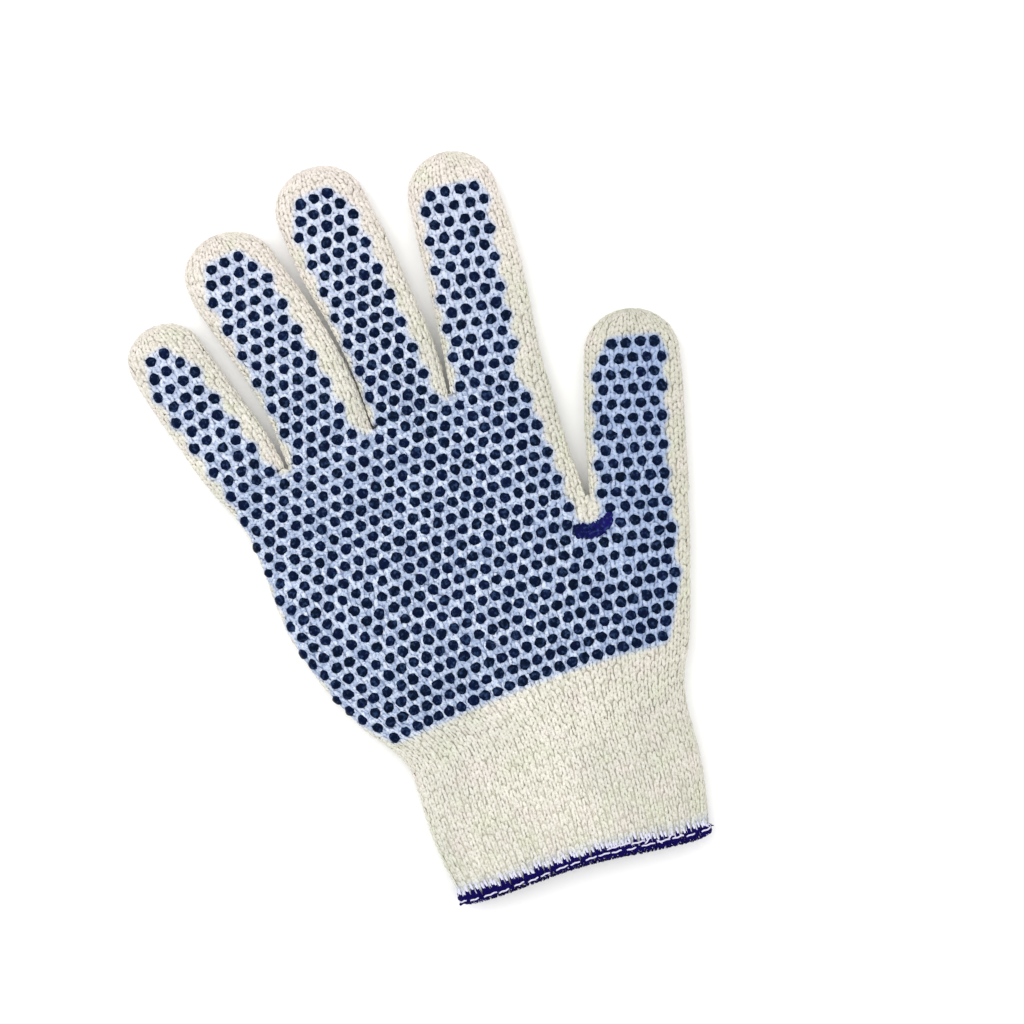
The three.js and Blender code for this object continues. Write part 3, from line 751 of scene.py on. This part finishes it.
def stitches(name, cloth, rows, wales, sides, front_wales, rib=None, halo=None):
    """The two legs of every stitch. A leg is a tapered body on a slant path: from the middle of
    its wale at the fingertip end, over the stitch before, to the wale's side and under the next.
    Its places are in rows and wales of the cloth, and its lift is along the normal."""
    turn = 2 * np.pi * np.arange(sides) / sides + np.pi / 2
    ring_round = np.stack([np.cos(turn), np.sin(turn)], axis=1)
    row, wale = np.meshgrid(rows, wales, indexing="ij")
    row, wale = row.ravel() + 0.5, wale.ravel() + 0.5
    row = np.concatenate([row, row])
    hand = np.repeat([1.0, -1.0], len(wale))
    wale = np.concatenate([wale, wale])
    count = len(row)
    shade = rng.uniform(0, 1, count)
    slim = rng.normal(1, 0.12, count)
    stray = rng.normal(0, 0.05, count)
    loose = rng.normal(0, 0.07, count)
    slip = rng.normal(0, 0.10, count)
    stitch_row = (row + slip)[:, None] + LEG_ALONG
    stitch_wale = wale[:, None] + hand[:, None] * (LEG_ASIDE + stray[:, None])
    lift = LEG_LIFT + loose[:, None]
    if rib is not None:
        lift = lift - (rib(row) * (np.floor(wale) % 2))[:, None]
    half = LEG_HALF * slim[:, None]
    thick = np.broadcast_to(LEG_THICK, half.shape)
    body_wale = stitch_wale[:, 1:4, None] + half[:, 1:4, None] * ring_round[:, 0]
    body_lift = lift[:, 1:4, None] + thick[:, 1:4, None] * ring_round[:, 1]
    body_row = np.broadcast_to(stitch_row[:, 1:4, None], body_wale.shape)

    def woven(ends, body):
        return np.concatenate([ends[:, :1], body.reshape(count, -1), ends[:, 4:]], axis=1)

    at_row, at_wale = woven(stitch_row, body_row), woven(stitch_wale, body_wale)
    at_lift = woven(lift, body_lift)
    points = on_cloth(cloth, at_row, at_wale, at_lift)
    quads, caps, each = ring_faces(3, sides)
    piece = new_piece(name, points.reshape(-1, 3), repeated(quads, count, each),
                      repeated(caps, count, each), cream_yarn)
    along = woven(np.broadcast_to(LEG_ALONG, stitch_row.shape),
                  np.broadcast_to(LEG_ALONG[1:4, None], body_row.shape[1:])[None].repeat(
                      count, axis=0)) * LEG_LENGTH / 1.7
    across = (at_wale - woven(stitch_wale, np.repeat(stitch_wale[:, 1:4, None], sides, axis=2)))
    seed = np.repeat(shade[:, None] * 37, each, axis=1)
    keep_values(piece, "yarn", np.stack([along, across * 2.3, seed], axis=2).reshape(-1, 3))
    cast = print_cast(points.reshape(-1, 3), np.repeat(wale < front_wales, each))
    if halo is not None:
        cast = np.maximum(cast, halo(at_row.ravel()))
    keep_values(piece, "print", cast)
    keep_values(piece, "stitch", np.repeat(shade, each))
    keep_values(piece, "depth", (np.clip((-0.55 - at_lift) / 0.75, 0, 1)).ravel())
    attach(piece, "root")
    return piece


def lining(name, cloth, first_row, last_row, closed_tip, front_wales):
    """The wall behind the legs: an outer and an inner skin one row and one wale at a time,
    joined by a rim at each open end, and by a point at a closed tip."""
    kept = slice(first_row * 2 + 2, last_row * 2 + 3, 2)
    grid, normals = cloth["points"][kept, ::2], cloth["normals"][kept, ::2]
    rows, wales, _ = grid.shape
    outer = grid - 0.66 * normals
    inner = grid - 1.75 * normals
    if closed_tip:
        outer, inner, rows = outer[:-1], inner[:-1], rows - 1
    ring = np.arange(wales)
    after = (ring + 1) % wales
    band = np.arange(rows - 1)[:, None] * wales
    skin = np.stack([band + ring, band + after, band + wales + after, band + wales + ring],
                    axis=2).reshape(-1, 4)
    size = rows * wales
    low_rim = np.stack([ring, size + ring, size + after, after], axis=1)
    points = np.concatenate([outer.reshape(-1, 3), inner.reshape(-1, 3)])
    quads = [skin, size + skin[:, ::-1], low_rim]
    triangles = np.zeros((0, 3), int)
    top = (rows - 1) * wales
    if closed_tip:
        tips = np.stack([grid[-1].mean(axis=0) - 0.5 * normals[-1, 0],
                         grid[-1].mean(axis=0) - 1.6 * normals[-1, 0]])
        points = np.concatenate([points, tips])
        pole = np.full(wales, 2 * size)
        triangles = np.concatenate([
            np.stack([pole, top + ring, top + after], axis=1),
            np.stack([pole + 1, size + top + after, size + top + ring], axis=1)])
    else:
        quads.append(np.stack([top + ring, top + after, size + top + after, size + top + ring],
                              axis=1))
    piece = new_piece(name, points, np.concatenate(quads), triangles, cream_lining)
    row_at, wale_at = np.meshgrid(np.arange(rows), ring, indexing="ij")
    place = np.stack([wale_at.ravel(), row_at.ravel(), np.zeros(size)], axis=1) * 1.0
    place = np.concatenate([place, place])
    on_front = np.tile(wale_at.ravel() <= front_wales, 2)
    on_front[size:] = False
    if closed_tip:
        place = np.concatenate([place, np.zeros((2, 3))])
        on_front = np.concatenate([on_front, [False, False]])
    keep_values(piece, "yarn", place)
    keep_values(piece, "print", print_cast(points, on_front))
    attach(piece, "root")
    return piece


def cuff_rib(row):
    """The cuff's fine rib, strongest at the mouth and gone at the wrist."""
    return 0.38 * np.clip(1.1 - row / CUFF_ROWS, 0, 1)


def edge_halo(row):
    """The overlock's dye has bled faintly into the row above it."""
    return 0.35 * np.clip(1.3 - np.abs(row - 1.9), 0, 1)


# The palm: its front and its back are one tube, knitted round. Each side is a piece of its own
hand_rows = HAND_CLOTH["rows"]
for part, cloth, first, last, wales in (
        ("heel", HAND_CLOTH, CUFF_ROWS, hand_rows, PALM_WALES),
        ("upper", UPPER_CLOTH, 0, UPPER_CLOTH["rows"], UPPER_WALES)):
    rows = np.arange(first, last)
    front_knit = stitches(f"knit_palm_{part}_front", cloth, rows, np.arange(wales), 6, wales)
    back_knit = stitches(f"knit_palm_{part}_back", cloth, rows,
                         np.arange(wales, 2 * wales), 5, wales)
    wall = lining(f"lining_palm_{part}", cloth, first, last, False, wales)
    for piece in (front_knit, back_knit, wall):
        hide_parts("palm")

# The fingers and the thumb: tubes that start at the palm's root lines and are drawn shut
for name, cloth in FINGER_CLOTHS.items():
    rows, wales = cloth["rows"], cloth["wales"]
    knit = stitches(f"knit_{name}", cloth, np.arange(rows), np.arange(wales), 6,
                    FINGER_WALES[name])
    wall = lining(f"lining_{name}", cloth, 0, rows, True, FINGER_WALES[name])
    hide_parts(name)
    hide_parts(name)

# The cuff: the same knit, drawn in by elastic yarn to a fine rib
around = HAND_CLOTH["wales"]
knit = stitches("knit_cuff", HAND_CLOTH, np.arange(1, CUFF_ROWS), np.arange(around), 6,
                PALM_WALES, cuff_rib, edge_halo)
wall = lining("lining_cuff", HAND_CLOTH, 0, CUFF_ROWS, False, PALM_WALES)
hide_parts("cuff")
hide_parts("cuff")

# The dots themselves: each sits on the yarn with its foot sunk between the stitches. The paste
# draws in unevenly as it cures, so their rims have blunt corners, and their tops shine a little.
DOT_RADIUS = 1.74
DOT_RINGS = np.array([(1.0, -0.75), (1.02, 0.02), (0.84, 0.42), (0.45, 0.66)])
DOT_SIDES = 12


def grip_group():
    """Navy PVC: a deep blue with lighter specks as painted highlight, brighter where the paste is
    thin at the rim.
    """
    tree, inputs, outputs = group(
        "navy_paste", (("NodeSocketFloat", "Batch", 0.5), ("NodeSocketFloat", "Rise", 0.5),
                       ("NodeSocketColor", "Thin", (0, 0, 0, 1))),
        (("NodeSocketColor", "Color"), ("NodeSocketFloat", "Height")))
    place = node(tree, "ShaderNodeTexCoord")
    grain_and_glint_noise = node(tree, "ShaderNodeTexNoise", (("Vector", place.outputs["Object"]),
                                              ("Scale", 900.0), ("Detail", 2.0)))
    deep = mixed(tree, inputs.outputs["Batch"], linear(0, 12, 34), linear(2, 15, 48))
    thin = mixed(tree, ramped(tree, inputs.outputs["Rise"], 0.35, 0.0, 0.0, 0.8), deep,
                 inputs.outputs["Thin"])
    # Painted highlight: lighter specks by noise stand in for small glints on the paste; the same
    # noise is its bump.
    painted_glints = mixed(tree, ramped(tree, grain_and_glint_noise.outputs[0], 0.52, 0.70, 0.0, 0.6), thin,
                   linear(52, 76, 116))
    tree.links.new(painted_glints, outputs.inputs["Color"])
    tree.links.new(grain_and_glint_noise.outputs[0], outputs.inputs["Height"])
    return tree


PASTE = grip_group()


def grip_material(name, roughness, thin):
    material, tree, shader = new_material(name)
    paste = node(tree, "ShaderNodeGroup", (("Thin", thin),), node_tree=PASTE)
    tree.links.new(attribute(tree, "batch"), paste.inputs["Batch"])
    tree.links.new(attribute(tree, "rise"), paste.inputs["Rise"])
    tree.links.new(paste.outputs["Color"], shader.inputs["Base Color"])
    bump = node(tree, "ShaderNodeBump", (("Height", paste.outputs["Height"]),
                                         ("Strength", 0.25), ("Distance", 0.0002)))
    tree.links.new(bump.outputs[0], shader.inputs["Normal"])
    shader.inputs["Roughness"].default_value = roughness
    shader.inputs["Specular IOR Level"].default_value = 0.04
    return material


navy_dots = grip_material("navy_dots", 0.28, linear(8, 20, 62))


def front_frame(x, y, limb):
    """Height and normal of the palm side over places in plan, from small steps either way."""
    step = 0.8
    z = front_height(x, y, limb)
    east, west = (front_height(x + way * step, y, limb) for way in (1, -1))
    north, south = (front_height(x, y + way * step, limb) for way in (1, -1))
    slope_x, slope_y = (east - west) / (2 * step), (north - south) / (2 * step)
    normal = np.stack([-slope_x, -slope_y, np.ones(np.shape(x))], axis=-1)
    return z, normal / np.linalg.norm(normal, axis=-1, keepdims=True)


def grip_dots(limb, centres):
    """Uneven domes: rings whose radius has two, three and five blunt corners, at rising heights
    along the cloth's normal, under one point at the top."""
    centres = centres + rng.normal(0, 0.13, centres.shape)
    count = len(centres)
    z, normal = front_frame(centres[:, 0], centres[:, 1], limb)
    east = np.cross([0, 1, 0], normal)
    east /= np.linalg.norm(east, axis=1, keepdims=True)
    north = np.cross(normal, east)
    angle = 2 * np.pi * np.arange(DOT_SIDES) / DOT_SIDES
    phase = rng.uniform(0, 2 * np.pi, (3, count, 1))
    uneven = 1 + 0.06 * np.cos(2 * angle + phase[0]) + 0.05 * np.cos(3 * angle + phase[1])
    uneven += 0.06 * np.cos(5 * angle + phase[2]) + rng.normal(0, 0.03, (count, DOT_SIDES))
    size = DOT_RADIUS * rng.normal(1, 0.04, (count, 1)) * uneven
    rise = rng.normal(1, 0.1, (count, 1, 1, 1))
    radius = DOT_RINGS[:, 0][None, :, None] * size[:, None, :]
    flat = (radius * np.cos(angle))[..., None] * east[:, None, None]
    flat = flat + (radius * np.sin(angle))[..., None] * north[:, None, None]
    up = DOT_RINGS[:, 1][None, :, None, None] * rise * normal[:, None, None]
    middle = np.concatenate([centres, z[:, None]], axis=1)
    rings = (middle[:, None, None] + flat + up).reshape(count, -1, 3)
    foot = middle - 0.75 * normal
    top = middle + 0.72 * rise[:, 0, 0] * normal
    points = np.concatenate([foot[:, None], rings, top[:, None]], axis=1)
    quads, caps, each = ring_faces(4, DOT_SIDES)
    piece = new_piece(f"dots_{limb}", points.reshape(-1, 3), repeated(quads, count, each),
                      repeated(caps, count, each), navy_dots)
    keep_values(piece, "batch", np.repeat(rng.uniform(0, 1, count), each))
    heights = np.concatenate([[0], np.repeat([0, 0.1, 0.6, 0.9], DOT_SIDES), [1]])
    keep_values(piece, "rise", np.tile(heights, count))
    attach(piece, "root")
    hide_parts(f"print_{limb}")


for limb, centres in DOTS.items():
    grip_dots(limb, centres)

# Spilt paste: a crescent of brighter indigo smeared below the thumb's crotch, a little thinner
# than the dots, with a ragged rim where it ran along the yarn
SMEAR_STATIONS, SMEAR_SIDES = 34, 14


def spilt_paste(name, path, half_widths):
    """A low ridge along a path on the palm. Its section is half width * cos and thickness * sin,
    thicker below than above, and each place is lifted from the cloth's own height there."""
    share = np.linspace(0, 1, len(path))
    at = np.linspace(0, 1, SMEAR_STATIONS)
    line = np.stack([soft_steps(at, share, path[:, column], 0.04) for column in (0, 1)], axis=1)
    way = np.gradient(line, axis=0)
    way /= np.linalg.norm(way, axis=1, keepdims=True)
    aside = np.stack([-way[:, 1], way[:, 0]], axis=1)
    turn = 2 * np.pi * np.arange(SMEAR_SIDES) / SMEAR_SIDES
    ragged = 1 + rng.normal(0, 0.10, (SMEAR_STATIONS, 2))
    half = np.interp(at, share, half_widths)[:, None]
    half = half * np.where(np.cos(turn) > 0, ragged[:, :1], ragged[:, 1:])
    plan = line[:, None] + (half * np.cos(turn))[..., None] * aside[:, None]
    lift = np.where(np.sin(turn) > 0, 0.5, 0.8) * np.sin(turn) * np.minimum(1, half)
    lift = lift + rng.normal(0, 0.05, lift.shape)
    height = front_height(plan[..., 0], plan[..., 1]) + lift
    rings = np.concatenate([plan, height[..., None]], axis=2)
    ends = [ring.mean(axis=0, keepdims=True) for ring in (rings[0], rings[-1])]
    points = np.concatenate([ends[0], rings.reshape(-1, 3), ends[1]])
    quads, caps, _ = ring_faces(SMEAR_STATIONS, SMEAR_SIDES)
    piece = new_piece(name, points, quads, caps,
                      grip_material("indigo_smear", 0.4, linear(26, 14, 108)))
    mottle = np.linspace(0.3, 0.08, SMEAR_STATIONS)[:, None] + rng.normal(
        0, 0.09, (SMEAR_STATIONS, SMEAR_SIDES))
    keep_values(piece, "batch", np.full(len(points), 0.5))
    keep_values(piece, "rise", np.clip(np.concatenate([[0.2], mottle.ravel(), [0.2]]), 0, 1))
    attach(piece, "root")
    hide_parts("print_palm")


spilt_paste("spilt_paste", SMEAR_PATH, SMEAR_HALF)

# The overlocked edge: indigo polyester thread thrown over the raw mouth of the cuff in close
# slanting stitches, which draw together in pairs where the needle went through. A lilac-white
# thread lies under the throws and shows above them, and another is chained along the rim.


def thread_material(name, dark, light):
    """Twisted sewing thread: a dark and a light tone by its fibres, with a soft gloss."""
    material, tree, shader = new_material(name)
    fibres = node(tree, "ShaderNodeGroup", (("Twist", 1.4), ("Fineness", 1.6)), node_tree=FIBRES)
    tree.links.new(attribute(tree, "yarn", "Vector"), fibres.inputs["Yarn"])
    tree.links.new(mixed(tree, fibres.outputs["Mask"], dark, light), shader.inputs["Base Color"])
    bump = node(tree, "ShaderNodeBump", (("Height", fibres.outputs["Height"]),
                                         ("Strength", 0.5), ("Distance", 0.0002)))
    tree.links.new(bump.outputs[0], shader.inputs["Normal"])
    tree.links.new(ramped(tree, fibres.outputs["Mask"], 0, 1, 0.75, 0.55),
                   shader.inputs["Roughness"])
    shader.inputs["Specular IOR Level"].default_value = 0.04
    return material


indigo_thread = thread_material("indigo_thread", linear(1, 1, 14), linear(24, 12, 106))
lilac_thread = thread_material("lilac_thread", linear(204, 204, 226), linear(232, 232, 248))
white_thread = thread_material("white_thread", linear(196, 192, 220), linear(234, 232, 246))


def thread_runs(name, paths, radius, sides, material):
    """Round thread along many paths at once, as an array of paths, stations and places. Each ring
    is square to its path, on two axes that follow it, and the ends draw in to a point."""
    way = np.gradient(paths, axis=1)
    way /= np.linalg.norm(way, axis=2, keepdims=True)
    aid = np.where(np.abs(way[..., 2:]) < 0.9, [0.0, 0, 1], [0.0, 1, 0])
    first = np.cross(aid, way)
    first /= np.linalg.norm(first, axis=2, keepdims=True)
    second = np.cross(way, first)
    turn = 2 * np.pi * np.arange(sides) / sides
    radius = np.broadcast_to(radius, paths.shape[:2])
    rings = paths[:, :, None] + radius[..., None, None] * (
        np.cos(turn)[:, None] * first[:, :, None] + np.sin(turn)[:, None] * second[:, :, None])
    count, stations = paths.shape[:2]
    ends = (paths[:, :1] - 0.3 * radius[:, :1, None] * way[:, :1],
            paths[:, -1:] + 0.3 * radius[:, -1:, None] * way[:, -1:])
    points = np.concatenate([ends[0], rings.reshape(count, -1, 3), ends[1]], axis=1)
    quads, caps, each = ring_faces(stations, sides)
    piece = new_piece(name, points.reshape(-1, 3), repeated(quads, count, each),
                      repeated(caps, count, each), material)
    steps = np.linalg.norm(np.diff(paths, axis=1), axis=2)
    along = np.concatenate([np.zeros((count, 1)), np.cumsum(steps, axis=1)], axis=1)
    along = np.concatenate([along[:, :1], np.repeat(along, sides, axis=1), along[:, -1:]], axis=1)
    across = np.concatenate([np.zeros((count, 1)), np.tile(np.cos(turn) * 0.4, (count, stations)),
                             np.zeros((count, 1))], axis=1)
    seed = np.repeat(rng.uniform(0, 40, (count, 1)), each, axis=1)
    keep_values(piece, "yarn", np.stack([along, across, seed], axis=2).reshape(-1, 3))
    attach(piece, "root")
    return piece


THREAD_RADIUS = 0.42
MOUTH_PITCH = CUFF_LENGTH / CUFF_ROWS
throws = int(around * 2.5)
start = np.arange(throws) * around / throws + rng.normal(0, 0.2, throws)
# Height of the band in millimetres from the left corner to the right one
BAND_PLACES = np.array([-42.0, -34.0, -12.0, 18.0, 36.0, 42.0])
BAND_HEIGHTS = np.array([3.9, 4.9, 4.1, 4.0, 4.3, 2.4])
start_x = on_cloth(HAND_CLOTH, np.zeros(throws), start, np.zeros(throws))[:, 0]
spike = np.interp(start_x, BAND_PLACES, BAND_HEIGHTS) * rng.normal(1, 0.12, throws)
spike *= np.where(np.arange(throws) % 2, 1.0, 0.78) / MOUTH_PITCH
# Height share, sideways lean in wales and lift of one throw, from inside the mouth to its top
THROW_RISE = np.array([0.5, 0.18, -0.12, 0.08, 0.36, 0.7, 1.0])
THROW_LEAN = np.array([-0.9, -0.8, -0.62, -0.4, -0.2, -0.06, 0.0])
THROW_LIFT = np.array([-2.2, -2.3, -0.9, 0.25, 0.38, 0.22, -0.35])
THROW_TAPER = np.array([0.3, 0.9, 1.05, 1.05, 1.1, 1.2, 1.0]) * THREAD_RADIUS
for lean, title, height, drop, thread in (
        (1.0, "edge_throws_right", 1.0, 0.0, indigo_thread),
        (-1.0, "edge_throws_left", 1.0, 0.0, indigo_thread),
        (-0.8, "edge_underthrows", 1.17, 0.12, lilac_thread)):
    rows = THROW_RISE * spike[:, None] * height
    wales = start[:, None] + lean * THROW_LEAN
    paths = on_cloth(HAND_CLOTH, rows, wales, np.broadcast_to(THROW_LIFT - drop, rows.shape))
    paths[..., 2] = np.maximum(paths[..., 2], THREAD_RADIUS)
    piece = thread_runs(title, paths, THROW_TAPER, 5, thread)
    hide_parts("cuff_edge")

# The chained thread comes up in uneven dashes, lowest at the left corner, with a few loops of a
# second line right of the middle
DASH_STATIONS = 7
dash_steps = np.linspace(0, 1, DASH_STATIONS)
dashes, doubled, loops = 36, 3, 4
dash_start = np.arange(dashes) * around / dashes + rng.normal(0, 0.2, dashes)
dash_row = np.interp(dash_start, [0, 22, 34, 44], [0.22, 0.5, 0.72, 0.6])
dash_start = np.concatenate([dash_start, np.linspace(0.59, 0.68, doubled) * PALM_WALES,
                             np.linspace(0.73, 0.86, loops) * PALM_WALES])
dash_row = np.concatenate([dash_row, np.full(doubled, 1.25), np.full(loops, 1.0)])
dash_row += rng.normal(0, 0.06, len(dash_row))
dash_long = rng.uniform(1.3, 2.3, len(dash_start))
dash_long[-loops:] = rng.uniform(0.5, 0.9, loops)
dash_slope = np.full(len(dash_start), 0.12)
dash_slope[-loops:] = rng.uniform(-0.5, 0.7, loops)
dash_wale = dash_start[:, None] + dash_long[:, None] * dash_steps
dash_rows = dash_row[:, None] + dash_slope[:, None] * dash_steps + 0.05 * np.sin(5 * dash_wale)
dash_lift = 0.62 + 0.30 * np.sin(np.pi * dash_steps) + 0 * dash_rows
dash_paths = on_cloth(HAND_CLOTH, dash_rows, dash_wale, dash_lift)
dash_paths[..., 2] = np.maximum(dash_paths[..., 2], THREAD_RADIUS)
piece = thread_runs("edge_chain", dash_paths, np.full(DASH_STATIONS, 0.27), 5, white_thread)
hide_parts("cuff_edge")

# The sewing ends in a small knot at the left corner, and in a cut tail at the right one
turn = np.linspace(0, 1, 40)
knot = np.stack([-41.2 + 1.3 * np.sin(19 * turn), 0.2 + 1.4 * np.cos(12 * turn + 0.4),
                 4.9 + 1.3 * np.sin(26 * turn + 1.0)], axis=1)
piece = thread_runs("edge_knot", knot[None], np.full(40, THREAD_RADIUS), 6, indigo_thread)
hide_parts("cuff_edge")
turn = np.linspace(0, 1, 12)
tails = [np.stack([39.6 + reach * turn, rise + bend * np.sin(2.6 * turn),
                   4.8 - drop * turn], axis=1)
         for reach, rise, bend, drop in ((3.7, 0.6, 0.5, 0.6), (3.1, 1.2, 0.3, 1.4),
                                         (2.7, 0.2, 0.7, 0.2))]
piece = thread_runs("edge_tail", np.array(tails), np.linspace(1.1, 0.4, 12) * THREAD_RADIUS, 6,
                    indigo_thread)
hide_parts("cuff_edge")

# The stage: a plain pale table top under soft light from the upper left, and a camera straight
# above, turned so that the glove leans as it does in the picture
TABLE_LEVEL = -0.0006
floor_mesh = bpy.data.meshes.new("table_top")
floor_mesh.from_pydata([(-3, -3, TABLE_LEVEL), (3, -3, TABLE_LEVEL), (3, 3, TABLE_LEVEL),
                        (-3, 3, TABLE_LEVEL)], [], [(0, 1, 2, 3)])
table_top = bpy.data.objects.new("table_top", floor_mesh)
bpy.context.collection.objects.link(table_top)
floor_paint, floor_tree, floor_shader = new_material("pale_table")
floor_shader.inputs["Base Color"].default_value = (0.98, 0.98, 0.98, 1)
floor_shader.inputs["Roughness"].default_value = 0.8
floor_mesh.materials.append(floor_paint)

VIEW_TURN = math.radians(-15.9)
camera_data = bpy.data.cameras.new("camera")
camera_data.lens, camera_data.sensor_width = 100.0, 36.0
camera = bpy.data.objects.new("camera", camera_data)
bpy.context.collection.objects.link(camera)
view_middle = to_scene((8.3, 116.3, 0))
camera.location = (view_middle[0], view_middle[1], 0.925)
camera.rotation_euler = (0, 0, VIEW_TURN)
bpy.context.scene.camera = camera


def soft_light(name, place, size, power):
    """A square lamp that looks at the middle of the glove."""
    data = bpy.data.lights.new(name, "AREA")
    data.size, data.energy = size, power
    lamp = bpy.data.objects.new(name, data)
    bpy.context.collection.objects.link(lamp)
    lamp.location = place
    away = np.array(place) - view_middle
    lamp.rotation_euler = (math.atan2(math.hypot(away[0], away[1]), away[2]), 0,
                           math.atan2(away[0], -away[1]))
    return lamp


soft_light("key", (-0.45, 0.48, 0.90), 1.2, 6.2)
soft_light("fill", (0.75, -0.35, 1.0), 1.2, 4.0)
world = bpy.data.worlds.new("studio")
world.use_nodes = True
world.node_tree.nodes["Background"].inputs[0].default_value = (1, 1, 1, 1)
world.node_tree.nodes["Background"].inputs[1].default_value = 0.90
bpy.context.scene.world = world
bpy.context.scene.view_settings.view_transform = "Standard"
